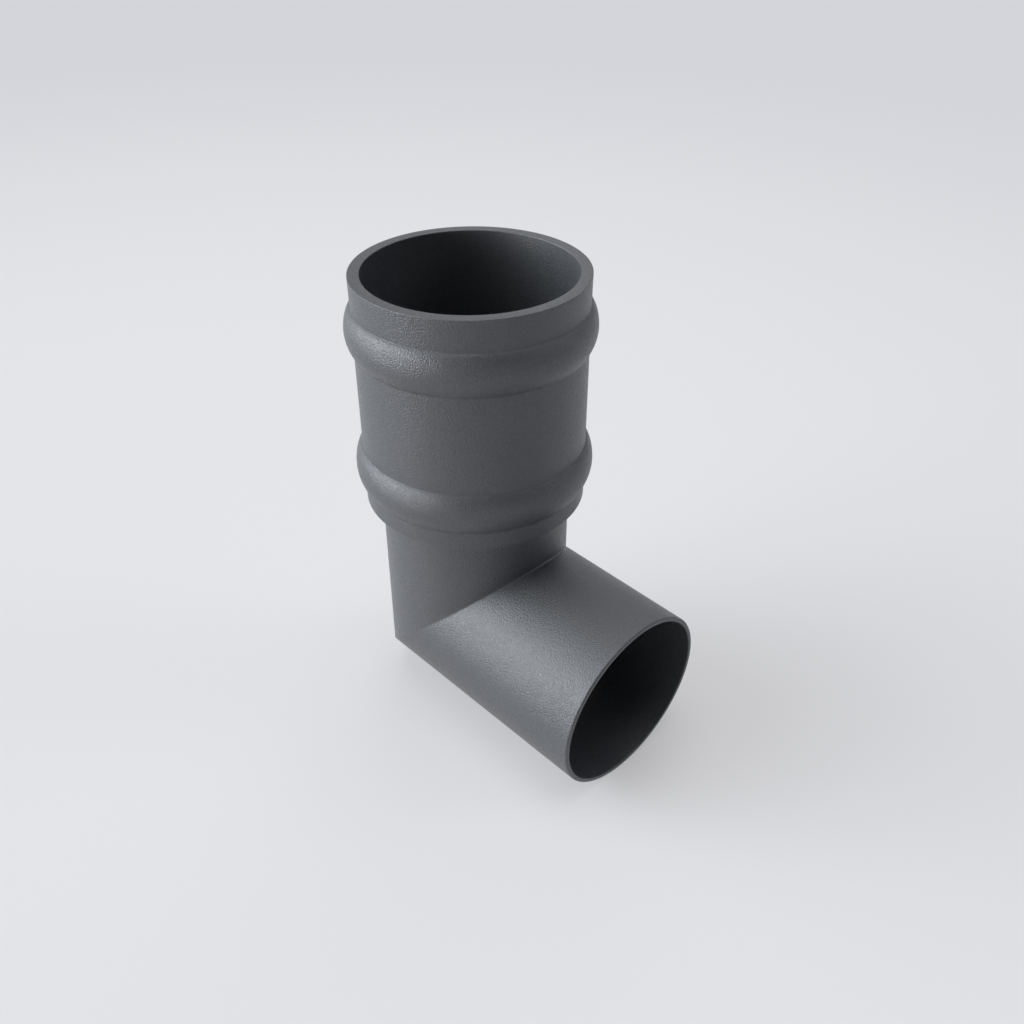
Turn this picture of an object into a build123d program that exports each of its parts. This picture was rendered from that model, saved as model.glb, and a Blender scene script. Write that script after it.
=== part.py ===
# Downpipe bend for a round rainwater pipe, cast in one piece.
# A deep collar with two half-round beads takes the end of the downpipe. Below it a thinner
# pipe turns through a mitred corner into a short open outlet.
# The origin is the centre of the ledge that the downpipe's end sits on, inside the collar.
# +Z runs up the collar, and the outlet leaves towards +X.
from build123d import *
import os
from math import cos, radians, sin

# Sizes are in millimetres and angles in degrees.
# Pipe and outlet
pipe_diameter = 76.0
pipe_wall = 2.0
neck_length = 57.1  # foot of the collar down to where the two centre lines cross
outlet_length = 88.6  # that crossing out to the open end
outlet_fall = 2.5  # slope of the outlet below level, so the bend turns through 92.5

# Collar across
socket_clearance = 1.75  # air all round the downpipe's end
collar_wall = 4.35
ledge_thickness = 4.8

# Collar from its foot up to its rim
foot_band = 7.2
bead_width = 17.0
bead_projection = 3.05
barrel_height = 39.8  # plain wall between the two beads
rim_band = 11.8

# Small roundings and bevels
bead_crease_radius = 1.0
collar_edge_bevel = 0.4
outlet_edge_radius = 0.8
outlet_bore_bevel = 0.35
throat_radius = 0.8

# The throat's crease dies out at the two sides of the pipe, so its rounding stops at this
# share of the pipe's radius, where the two walls are already nearly in line.
rounded_share = sin(radians(80))

pipe_radius = pipe_diameter / 2
bore_radius = pipe_radius - pipe_wall
socket_radius = pipe_radius + socket_clearance
collar_radius = socket_radius + collar_wall

ledge = 0.0
collar_foot = ledge - ledge_thickness
lower_bead = collar_foot + foot_band
upper_bead = lower_bead + bead_width + barrel_height
rim = upper_bead + bead_width + rim_band

crossing = Vector(0, 0, collar_foot - neck_length)
outlet_way = Vector(cos(radians(outlet_fall)), 0, -sin(radians(outlet_fall)))
outlet_end = crossing + outlet_way * outlet_length


def swept_round(radius, mode=Mode.ADD):
    # a round bar of this radius down the upright centre line and out along the outlet
    with BuildLine() as centre_line:
        Polyline((0, 0, ledge), crossing, outlet_end)
    with BuildSketch(Plane.XY.offset(ledge)) as section:
        Circle(radius)
    sweep(section.sketch, centre_line.line, transition=Transition.RIGHT, mode=mode)


def band(inner, outer, low, high):
    # a rectangle of the collar's section, from one radius and height to another
    with Locations(((inner + outer) / 2, (low + high) / 2)):
        Rectangle(outer - inner, high - low)


# Outside of the pipe, with its corner still sharp
with BuildPart() as sharp_pipe:
    swept_round(pipe_radius)

# Strip along the middle of that pipe, where the crease in the throat is rounded. The mitre
# is four quarter ellipses, two round the heel and two round the throat.
with BuildPart() as middle_strip:
    add(sharp_pipe.part)
    strip_reach = 4 * (neck_length + outlet_length + pipe_diameter)
    strip_width = 2 * pipe_radius * rounded_share
    Box(strip_reach, strip_width, strip_reach, mode=Mode.INTERSECT)
    mitre = edges().filter_by(GeomType.ELLIPSE).sort_by(Axis.X)
    fillet(mitre[-2:], throat_radius)

with BuildPart() as downpipe_bend:
    # Outside of the pipe, with the rounded strip in place of the sharp one
    add(sharp_pipe.part)
    Box(strip_reach, strip_width, strip_reach, mode=Mode.SUBTRACT)
    add(middle_strip.part)

    # Collar, turned about the socket's axis
    with BuildSketch(Plane.XZ) as collar_section:
        band(socket_radius, collar_radius, collar_foot, rim)
        band(bore_radius, socket_radius, collar_foot, ledge)
        for bead in (lower_bead, upper_bead):
            with BuildLine():
                crown = ThreePointArc(
                    (collar_radius, bead),
                    (collar_radius + bead_projection, bead + bead_width / 2),
                    (collar_radius, bead + bead_width),
                )
                Line(crown @ 1, crown @ 0)
            make_face()
        wall_points = vertices().group_by(Axis.X)[-1].sort_by(Axis.Y)
        chamfer([wall_points[0], wall_points[-1]], collar_edge_bevel)
        wall_points = vertices().group_by(Axis.X)[-1].sort_by(Axis.Y)
        fillet(wall_points[1:-1], bead_crease_radius)
    revolve(axis=Axis.Z)

    # Waterway from the ledge to the open end
    swept_round(bore_radius, mode=Mode.SUBTRACT)

    # Edges of the open end, the outer one rounded and the inner one bevelled
    end_edges = faces().sort_by(Axis.X)[-1].edges().sort_by(SortBy.LENGTH)
    fillet(end_edges[-1], outlet_edge_radius)
    chamfer(end_edges[0], outlet_bore_bevel)

downpipe_bend.part.label = "downpipe_bend"
os.makedirs("parts", exist_ok=True)
export_step(downpipe_bend.part, "parts/downpipe_bend.step")
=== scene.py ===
# Mitred downpipe bend with a beaded collar, cast, in a sand-textured charcoal coat.
import math
import bpy
import numpy as np
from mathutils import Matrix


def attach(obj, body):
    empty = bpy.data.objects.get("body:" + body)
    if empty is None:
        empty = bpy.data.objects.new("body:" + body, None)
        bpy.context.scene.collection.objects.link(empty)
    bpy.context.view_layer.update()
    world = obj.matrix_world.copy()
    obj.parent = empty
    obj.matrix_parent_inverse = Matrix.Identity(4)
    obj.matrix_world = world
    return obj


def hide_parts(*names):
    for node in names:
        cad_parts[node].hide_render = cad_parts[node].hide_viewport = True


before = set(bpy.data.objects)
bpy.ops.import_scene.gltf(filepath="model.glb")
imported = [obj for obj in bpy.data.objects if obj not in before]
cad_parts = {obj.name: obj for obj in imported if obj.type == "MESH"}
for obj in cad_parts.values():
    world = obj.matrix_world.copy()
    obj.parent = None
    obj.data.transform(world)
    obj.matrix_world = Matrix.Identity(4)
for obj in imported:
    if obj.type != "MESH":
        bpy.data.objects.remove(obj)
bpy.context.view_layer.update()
print("frame loaded")

mm = 0.001

# The casting. Sizes are in millimetres, and angles in degrees.
bend = {
    "pipeRadius": 38.0,
    "pipeWall": 2.0,
    "neckLength": 57.1,  # foot of the collar down to where the centre lines cross
    "outletLength": 88.4,  # that crossing out to the open end
    "outletFall": 2.5,
    "socketRadius": 39.75,
    "collarRadius": 44.1,
    "ledgeThickness": 4.8,
    "footBand": 7.2,
    "beadWidth": 17.0,
    "beadProjection": 3.05,
    "barrelHeight": 39.8,
    "rimBand": 11.8,
    "shoulder": 1.45,  # 2 is a plain shallow arc, and less stands fuller by the crease
    "skirt": 1.75,  # the same for the half below each bead's crown
    "shoulderCrease": 0.3,  # rounding in the crease above each bead
    "skirtCrease": 0.3,
    "rimFlare": 0.12,  # the rim stands out and up by this much more
    "rimOuterRound": 0.2,
    "rimInnerRound": 0.3,
    "footRound": 0.4,
    "footCrease": 0.5,
    "ledgeCrease": 0.4,
    "endOuterRound": 0.8,
    "endInnerRound": 0.35,
    "throatRound": 0.8,
    "heelRound": 0.3,
    "boreCornerRound": 0.5,
    "around": 384,  # columns round the pipe
    "beadSteps": 28,  # from a bead's crease to its crown
    "creaseSteps": 6,  # across the rounding beside a bead, and across the mitre
    "edgeSteps": 5,  # across the other roundings outside, and those of the bore
    "insideSteps": 4,  # across each rounding inside the collar
    "endSteps": 8,  # across the outer rounding of the open end
    "guard": 0.25,  # a row this far from each rounding keeps the flats flat in shading
}


# An arc of a section: points at equal angles from startAngle to endAngle about a centre.
def arcPoints(centreR, centreZ, radius, startAngle, endAngle, steps):
    angle = np.radians(np.linspace(startAngle, endAngle, steps + 1))
    return np.stack([centreR + radius * np.cos(angle), centreZ + radius * np.sin(angle)], 1)


# The rounding in the crease between the collar's wall and one side of a bead: an arc that
# touches the wall, and touches the bead's points where they come within its radius of the arc's
# centre. upward is 1 above the bead and -1 below it. Gives the arc and the bead's points past it.
def creaseArc(bead, wall, radius, upward, steps):
    reach, tries = 3 * radius, 400  # how far along the wall, and how finely, its centre is sought
    step = np.linspace(0, reach, tries)[:, None]
    centres = np.concatenate([wall + radius + 0 * step, bead[0, 1] + upward * step], 1)
    distance = np.linalg.norm(bead[None] - centres[:, None], axis=2)
    centre = np.argmax(distance.min(1) >= radius)
    touch = np.argmin(distance[centre])
    way = (bead[touch] - centres[centre]) * upward
    end = math.degrees(math.atan2(-way[1], way[0] * upward))
    arc = arcPoints(*centres[centre], radius, 180, 180 + upward * (180 - end), steps)
    return arc, bead[touch + 1:]


# The collar's section as (radius, height) points, from the middle of the rim's flat top down
# the outside to the foot and in to the pipe. At angle t round a bead, its height is half its
# width times cos t from its middle, and it stands out by its projection times a power of sin t.
def collarOutside(b):
    foot = -b["ledgeThickness"]
    wall = b["collarRadius"]
    lower = foot + b["footBand"]
    upper = lower + b["beadWidth"] + b["barrelHeight"]
    rim = upper + b["beadWidth"] + b["rimBand"] + b["rimFlare"]
    half = b["beadWidth"] / 2
    t = np.linspace(0, math.pi / 2, b["beadSteps"] + 1)

    # one bead from its upper crease to its lower one
    def beadPoints(start):
        sides = []
        for name, upward in (("shoulder", 1), ("skirt", -1)):
            out = wall + b["beadProjection"] * np.sin(t) ** b[name]
            side = np.stack([out, start + half + upward * half * np.cos(t)], 1)
            arc = creaseArc(side, wall, b[name + "Crease"], upward, b["creaseSteps"])
            sides.append(np.concatenate(arc))
        return np.concatenate([sides[0], sides[1][-2::-1]])

    edge, under, crease, steps = b["rimOuterRound"], b["footRound"], b["footCrease"], b["edgeSteps"]
    return np.concatenate([
        arcPoints(wall + b["rimFlare"] - edge, rim - edge, edge, 90, 0, steps),
        beadPoints(upper),
        beadPoints(lower),
        arcPoints(wall - under, foot + under, under, 0, -90, steps),
        arcPoints(b["pipeRadius"] + crease, foot - crease, crease, 90, 180, steps),
    ])


# Inside the collar: along the bore's edge, out over the ledge, and up the socket to the rim.
def collarInside(b):
    bore, socket = b["pipeRadius"] - b["pipeWall"], b["socketRadius"]
    collar = b["footBand"] + 2 * b["beadWidth"] + b["barrelHeight"] + b["rimBand"] + b["rimFlare"]
    rim = collar - b["ledgeThickness"]
    edge, crease, steps = b["rimInnerRound"], b["ledgeCrease"], b["insideSteps"]
    return np.concatenate([
        arcPoints(bore + edge, -edge, edge, 180, 90, steps),
        arcPoints(socket - crease, crease, crease, -90, 0, steps),
        arcPoints(socket + edge, rim - edge, edge, 180, 90, steps),
    ])


# Each run of a section longer than four guards gets a row a guard's length from both its ends.
def guarded(points, guard):
    step = np.diff(points, axis=0)
    length = np.hypot(step[:, 0], step[:, 1])
    long = np.flatnonzero(length > 4 * guard)
    ahead = step[long] * (guard / length[long])[:, None]
    rows = np.concatenate([points, points[long] + ahead, points[long + 1] - ahead])
    place = np.concatenate([np.arange(len(points)) * 3, long * 3 + 1, long * 3 + 2])
    return rows[np.argsort(place)]


# The pipe's two straight legs and the corner between them. Along a line at angle t round the
# wall, both legs keep the same distance m = r cos t from the centre lines, measured towards the
# throat, so they meet where both such lines cross, on the mitre plane. A small arc tangent to
# both lines rounds that corner. Its radius changes from the throat's to the heel's with cos t.
def pipeFrame(b):
    fall = math.radians(b["outletFall"])
    return {
        "fall": fall,
        "crossing": np.array([0, 0, -b["ledgeThickness"] - b["neckLength"]]),
        "up": np.array([0, 0, 1.0]),
        "way": np.array([math.cos(fall), 0, -math.sin(fall)]),
        "outletTop": np.array([math.sin(fall), 0, math.cos(fall)]),
        "side": np.array([0, 1.0, 0]),
    }


# Rings of the upright leg or the collar: radius and height in, (rows, columns, 3) out.
def uprightRings(points, turn):
    r, z = points[:, :1], points[:, 1:]
    return np.stack(np.broadcast_arrays(r * np.cos(turn), r * np.sin(turn), z + 0 * turn), -1)


# Rings of the outlet: radius and distance from the crossing in.
def outletRings(points, turn, p):
    r, reach = points[:, :1, None], points[:, 1:, None]
    c, s = np.cos(turn)[None, :, None], np.sin(turn)[None, :, None]
    return p["crossing"] + reach * p["way"] + r * c * p["outletTop"] + r * s * p["side"]


# Rows through the mitre at one radius: a guard row, the arc's rows and a guard row.
def mitreRings(radius, throat, heel, steps, guard, turn, p):
    m = radius * np.cos(turn)
    cornerReach = m * (1 - math.sin(p["fall"])) / math.cos(p["fall"])
    corner = (
        p["crossing"]
        + cornerReach[:, None] * p["way"]
        + m[:, None] * p["outletTop"]
        + (radius * np.sin(turn))[:, None] * p["side"]
    )
    rounding = (heel + (throat - heel) * (1 + np.cos(turn)) / 2)[:, None]
    half = (math.pi / 2 - p["fall"]) / 2  # half of the angle that the pipe turns through
    inward = (p["up"] + p["way"]) / np.linalg.norm(p["up"] + p["way"])
    onward = (p["way"] - p["up"]) / np.linalg.norm(p["way"] - p["up"])
    rows = [
        corner
        + inward * rounding / math.cos(half)
        - inward * rounding * math.cos(a)
        + onward * rounding * math.sin(a)
        for a in np.linspace(-half, half, steps + 1)
    ]
    return np.stack([rows[0] + guard * p["up"], *rows, rows[-1] + guard * p["way"]])


# The whole casting is one closed band of rings: out over the rim, down the outside, round the
# mitre, over the open end, back up the bore, and out over the ledge to the rim again.
def bendRings(b):
    p = pipeFrame(b)
    turn = np.arange(b["around"]) * (2 * math.pi / b["around"])
    outer, bore, end = b["pipeRadius"], b["pipeRadius"] - b["pipeWall"], b["outletLength"]
    big, small, corner = b["endOuterRound"], b["endInnerRound"], b["boreCornerRound"]
    guard = b["guard"]
    back = [[0, guard]]  # from a section's end to its own guard row, on the straight pipe
    openEnd = np.concatenate([
        arcPoints(outer - big, end - big, big, 0, 90, b["endSteps"]),
        arcPoints(bore + small, end - small, small, 90, 180, b["edgeSteps"]),
    ])
    openEnd = guarded(np.concatenate([openEnd[:1] - back, openEnd, openEnd[-1:] - back]), guard)
    outside = collarOutside(b)
    outside = guarded(np.concatenate([outside, outside[-1:] - back]), guard)
    inside = collarInside(b)
    inside = guarded(np.concatenate([inside[:1] - back, inside]), guard)
    return np.concatenate([
        uprightRings(outside, turn),
        mitreRings(outer, b["throatRound"], b["heelRound"], b["creaseSteps"], guard, turn, p),
        outletRings(openEnd, turn, p),
        mitreRings(bore, corner, corner, b["edgeSteps"], guard, turn, p)[::-1],
        uprightRings(inside, turn),
    ])


# Rings joined into quads in both directions, and closed on themselves in both.
def ringMesh(name, rings):
    rows, columns = rings.shape[:2]
    index = np.arange(rows * columns).reshape(rows, columns)
    onward = np.roll(index, -1, 0)
    quads = np.stack([index, onward, np.roll(onward, -1, 1), np.roll(index, -1, 1)], -1)
    mesh = bpy.data.meshes.new(name)
    mesh.from_pydata((rings.reshape(-1, 3) * mm).tolist(), [], quads.reshape(-1, 4).tolist())
    mesh.polygons.foreach_set("use_smooth", np.ones(rows * columns, bool))
    mesh.update()
    made = bpy.data.objects.new(name, mesh)
    bpy.context.scene.collection.objects.link(made)
    return made


casting = ringMesh("downpipeBendCasting", bendRings(bend))
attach(casting, "root")
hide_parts("downpipe_bend")
print("casting made,", len(casting.data.polygons), "faces")

# The coat: charcoal powder with a fine sand grain. Lengths are in millimetres.
coat = {
    "colour": (0.0605, 0.0637, 0.0690),
    "toneSpread": 0.4,  # share by which the palest and darkest grains differ from that colour
    "speckle": 0.8,  # size of the grain in the tone
    "speckleShare": 0.8,  # the rest of the tone's change is in broad clouds
    "cloud": 28.0,
    "cloudRoughness": 0.55,
    "roughness": 0.41,
    "roughnessSpread": 0.24,
    "glint": 0.65,  # size of the grain in the roughness
    "pebble": 0.56,  # from one sand grain to the next
    "pebbleHeight": 0.14,
    "swell": 6.0,  # slow waves under the grain
    "swellHeight": 0.05,
    "broadDetail": 3.0,  # levels of detail in the clouds and the waves
    "gloss": 0.70,
}


def link(tree, fromNode, fromSocket, toNode, toSocket):
    tree.links.new(fromNode.outputs[fromSocket], toNode.inputs[toSocket])


# One step of arithmetic on two values. The second is a socket or a plain number.
def mathNode(tree, operation, first, second=0.0):
    node = tree.nodes.new("ShaderNodeMath")
    node.operation = operation
    tree.links.new(first, node.inputs[0])
    if isinstance(second, float):
        node.inputs[1].default_value = second
    else:
        tree.links.new(second, node.inputs[1])
    return node.outputs[0]


# Noise of a given grain size, on the piece's own coordinates in metres.
def noiseNode(tree, place, size, detail=1.0, roughness=0.5):
    node = tree.nodes.new("ShaderNodeTexNoise")
    node.inputs["Scale"].default_value = 1 / (size * mm)
    node.inputs["Detail"].default_value = detail
    node.inputs["Roughness"].default_value = roughness
    link(tree, place, "Object", node, "Vector")
    return node


# Bumps of full strength and a given height, on top of another bump where there is one.
def bumpNode(tree, height, distance, after=None):
    node = tree.nodes.new("ShaderNodeBump")
    node.inputs["Distance"].default_value = distance * mm
    node.inputs["Strength"].default_value = 1.0
    link(tree, height, 0, node, "Height")
    if after:
        link(tree, after, "Normal", node, "Normal")
    return node


def coatMaterial(c):
    material = bpy.data.materials.new("charcoalSandCoat")
    material.use_nodes = True
    tree = material.node_tree
    shader = tree.nodes["Principled BSDF"]
    shader.inputs["Specular IOR Level"].default_value = c["gloss"]
    place = tree.nodes.new("ShaderNodeTexCoord")
    pebble = tree.nodes.new("ShaderNodeTexVoronoi")
    pebble.inputs["Scale"].default_value = 1 / (c["pebble"] * mm)
    link(tree, place, "Object", pebble, "Vector")
    glint = noiseNode(tree, place, c["glint"])
    swell = noiseNode(tree, place, c["swell"], c["broadDetail"])
    speckle = noiseNode(tree, place, c["speckle"])
    cloud = noiseNode(tree, place, c["cloud"], c["broadDetail"], c["cloudRoughness"])

    share = tree.nodes.new("ShaderNodeMix")
    share.inputs["Factor"].default_value = c["speckleShare"]
    link(tree, cloud, 0, share, "A")
    link(tree, speckle, 0, share, "B")
    tone = tree.nodes.new("ShaderNodeMix")
    tone.data_type = "RGBA"
    tone.inputs["A"].default_value = [v * (1 - c["toneSpread"]) for v in c["colour"]] + [1]
    tone.inputs["B"].default_value = [v * (1 + c["toneSpread"]) for v in c["colour"]] + [1]
    link(tree, share, "Result", tone, "Factor")
    link(tree, tone, "Result", shader, "Base Color")

    rough = tree.nodes.new("ShaderNodeMapRange")
    rough.inputs["To Min"].default_value = c["roughness"] - c["roughnessSpread"]
    rough.inputs["To Max"].default_value = c["roughness"] + c["roughnessSpread"]
    link(tree, glint, 0, rough, "Value")
    link(tree, rough, "Result", shader, "Roughness")

    swellBump = bumpNode(tree, swell, c["swellHeight"])
    pebbleBump = bumpNode(tree, pebble, c["pebbleHeight"], swellBump)
    pebbleBump.invert = True
    link(tree, pebbleBump, "Normal", shader, "Normal")
    return material


casting.data.materials.append(coatMaterial(coat))
print("coat made")

# A large pale floor and backdrop, with a pool of light painted into the floor's colour round one
# spot, and soft light from five patches of the studio round them. Each patch is brightest at its
# own direction and fades evenly all round, to about 0.6 of that one spread away. Angles are in
# degrees, azimuth from +X towards +Y. Lengths are in millimetres.
studio = {
    "floorHeight": -103.69,
    "floorHalf": 8000.0,
    "floorRoughness": 0.9,
    "floorColour": (0.757, 0.756, 0.765, 1.0),
    "farColour": (0.646, 0.643, 0.662, 1.0),  # of the far floor and of the backdrop
    # painted pool of light: the floor's colour is palest round this spot and fades to the far
    # colour past it
    "paintedLightSpot": (-200.0, -60.0),  # the floor is palest here
    "paintedLightFade": (150.0, 1300.0),  # from that spot to where the fading starts and ends
    "paleShare": 0.45,  # share of plain pale in what the camera and reflections see of the floor
    "backdropShare": 0.3,  # share of the pale backdrop that reflections see round the patches
    "patches": {
        "stripPatch": {
            "azimuth": -106.0, "elevation": -1.9, "spread": 5.6, "light": (47.0, 46.5, 47.3),
        },
        "sidePatch": {
            "azimuth": -136.5, "elevation": 18.0, "spread": 18.7, "light": (7.3, 7.7, 8.05),
        },
        "topPatch": {
            "azimuth": -82.5, "elevation": 88.5, "spread": 10.5, "light": (5.2, 5.05, 5.15),
        },
        "rightPatch": {
            "azimuth": 46.7, "elevation": 31.0, "spread": 7.4, "light": (3.8, 4.1, 4.5),
        },
        "backPatch": {
            "azimuth": 122.3, "elevation": 36.7, "spread": 19.3, "light": (1.1, 1.12, 1.17),
        },
    },
}


def floorMaterial(s):
    material = bpy.data.materials.new("paleFloor")
    material.use_nodes = True
    tree = material.node_tree
    shader = tree.nodes["Principled BSDF"]
    shader.inputs["Roughness"].default_value = s["floorRoughness"]
    shader.inputs["Specular IOR Level"].default_value = 0.0
    place = tree.nodes.new("ShaderNodeTexCoord")
    # painted light: the floor's colour is paler near one spot and fades to the far colour, a
    # painted pool of light
    away = tree.nodes.new("ShaderNodeVectorMath")
    away.operation = "DISTANCE"
    away.inputs[1].default_value = [v * mm for v in (*s["paintedLightSpot"], s["floorHeight"])]
    link(tree, place, "Object", away, 0)
    paintedLightFade = tree.nodes.new("ShaderNodeMapRange")
    paintedLightFade.interpolation_type = "SMOOTHSTEP"
    paintedLightFade.inputs["From Min"].default_value = s["paintedLightFade"][0] * mm
    paintedLightFade.inputs["From Max"].default_value = s["paintedLightFade"][1] * mm
    link(tree, away, "Value", paintedLightFade, "Value")
    floorWithPaintedLight = tree.nodes.new("ShaderNodeMix")
    floorWithPaintedLight.data_type = "RGBA"
    floorWithPaintedLight.inputs["A"].default_value = s["floorColour"]
    floorWithPaintedLight.inputs["B"].default_value = s["farColour"]
    link(tree, paintedLightFade, "Result", floorWithPaintedLight, "Factor")
    link(tree, floorWithPaintedLight, "Result", shader, "Base Color")

    # part of the pale floor doesn't depend on the light, which softens the casting's shadow
    pale = tree.nodes.new("ShaderNodeEmission")
    link(tree, floorWithPaintedLight, "Result", pale, "Color")
    ray = tree.nodes.new("ShaderNodeLightPath").outputs
    seen = mathNode(tree, "MAXIMUM", ray["Is Camera Ray"], ray["Is Glossy Ray"])
    seen = mathNode(tree, "MAXIMUM", seen, ray["Is Transmission Ray"])
    mixed = tree.nodes.new("ShaderNodeMixShader")
    tree.links.new(mathNode(tree, "MULTIPLY", seen, s["paleShare"]), mixed.inputs[0])
    link(tree, shader, "BSDF", mixed, 1)
    link(tree, pale, "Emission", mixed, 2)
    link(tree, mixed, "Shader", tree.nodes["Material Output"], "Surface")
    return material


def makeFloor(s):
    half, height = s["floorHalf"] * mm, s["floorHeight"] * mm
    corners = [(half * x, half * y, height) for x, y in ((-1, -1), (1, -1), (1, 1), (-1, 1))]
    mesh = bpy.data.meshes.new("floor")
    mesh.from_pydata(corners, [], [(0, 1, 2, 3)])
    mesh.materials.append(floorMaterial(s))
    made = bpy.data.objects.new("floor", mesh)
    bpy.context.scene.collection.objects.link(made)


def addNode(tree, first, second):
    node = tree.nodes.new("ShaderNodeVectorMath")
    node.operation = "ADD"
    tree.links.new(first, node.inputs[0])
    tree.links.new(second, node.inputs[1])
    return node.outputs["Vector"]


# A colour times a share. The colour is a socket or a plain tuple.
def scaleNode(tree, colour, share):
    node = tree.nodes.new("ShaderNodeVectorMath")
    node.operation = "SCALE"
    if isinstance(colour, tuple):
        node.inputs[0].default_value = colour
    else:
        tree.links.new(colour, node.inputs[0])
    tree.links.new(share, node.inputs["Scale"])
    return node.outputs["Vector"]


# Light of one patch: its colour times e to the power of (cosine - 1) / spread squared, with the
# cosine of the angle between a direction and the patch's own.
def patchLight(tree, direction, patch):
    a, e = math.radians(patch["azimuth"]), math.radians(patch["elevation"])
    cosine = tree.nodes.new("ShaderNodeVectorMath")
    cosine.operation = "DOT_PRODUCT"
    cosine.inputs[1].default_value = (
        math.cos(a) * math.cos(e),
        math.sin(a) * math.cos(e),
        math.sin(e),
    )
    tree.links.new(direction, cosine.inputs[0])
    short = mathNode(tree, "SUBTRACT", cosine.outputs["Value"], 1.0)
    power = mathNode(tree, "MULTIPLY", short, 1 / math.radians(patch["spread"]) ** 2)
    return scaleNode(tree, patch["light"], mathNode(tree, "EXPONENT", power))


def makeWorld(s):
    world = bpy.data.worlds.new("studioWorld")
    world.use_nodes = True
    tree = world.node_tree
    direction = tree.nodes.new("ShaderNodeTexCoord").outputs["Generated"]
    lights = [patchLight(tree, direction, patch) for patch in s["patches"].values()]
    patches = lights[0]
    for light in lights[1:]:
        patches = addNode(tree, patches, light)

    # the camera sees the plain backdrop alone, and reflections see the patches and part of it
    ray = tree.nodes.new("ShaderNodeLightPath").outputs
    straight = mathNode(tree, "MAXIMUM", ray["Is Camera Ray"], ray["Is Transmission Ray"])
    mirrored = mathNode(tree, "MULTIPLY", ray["Is Glossy Ray"], s["backdropShare"])
    pale = scaleNode(tree, s["farColour"][:3], mathNode(tree, "MAXIMUM", straight, mirrored))
    otherRay = mathNode(tree, "LESS_THAN", straight, 0.5)  # straight is only ever 0 or 1
    total = addNode(tree, pale, scaleNode(tree, patches, otherRay))
    tree.links.new(total, tree.nodes["Background"].inputs["Color"])
    bpy.context.scene.world = world


makeFloor(studio)
makeWorld(studio)
print("studio made")

# The camera stands where the photograph was taken from. Its place and its nearest sight are in
# metres, its angles in degrees, and its lens and sensor in millimetres.
view = {
    "place": (0.260597, -0.237564, 0.228561),
    "downTilt": 35.040,
    "azimuth": 45.216,
    "lens": 36.152,
    "sensor": 36,
    "nearest": 0.01,
}
camera = bpy.data.objects.new("camera", bpy.data.cameras.new("camera"))
camera.data.lens = view["lens"]
camera.data.sensor_width = view["sensor"]
camera.data.clip_start = view["nearest"]
camera.location = view["place"]
camera.rotation_euler = (math.radians(90 - view["downTilt"]), 0, math.radians(view["azimuth"]))
bpy.context.scene.collection.objects.link(camera)
bpy.context.scene.camera = camera
bpy.context.scene.view_settings.view_transform = "Standard"
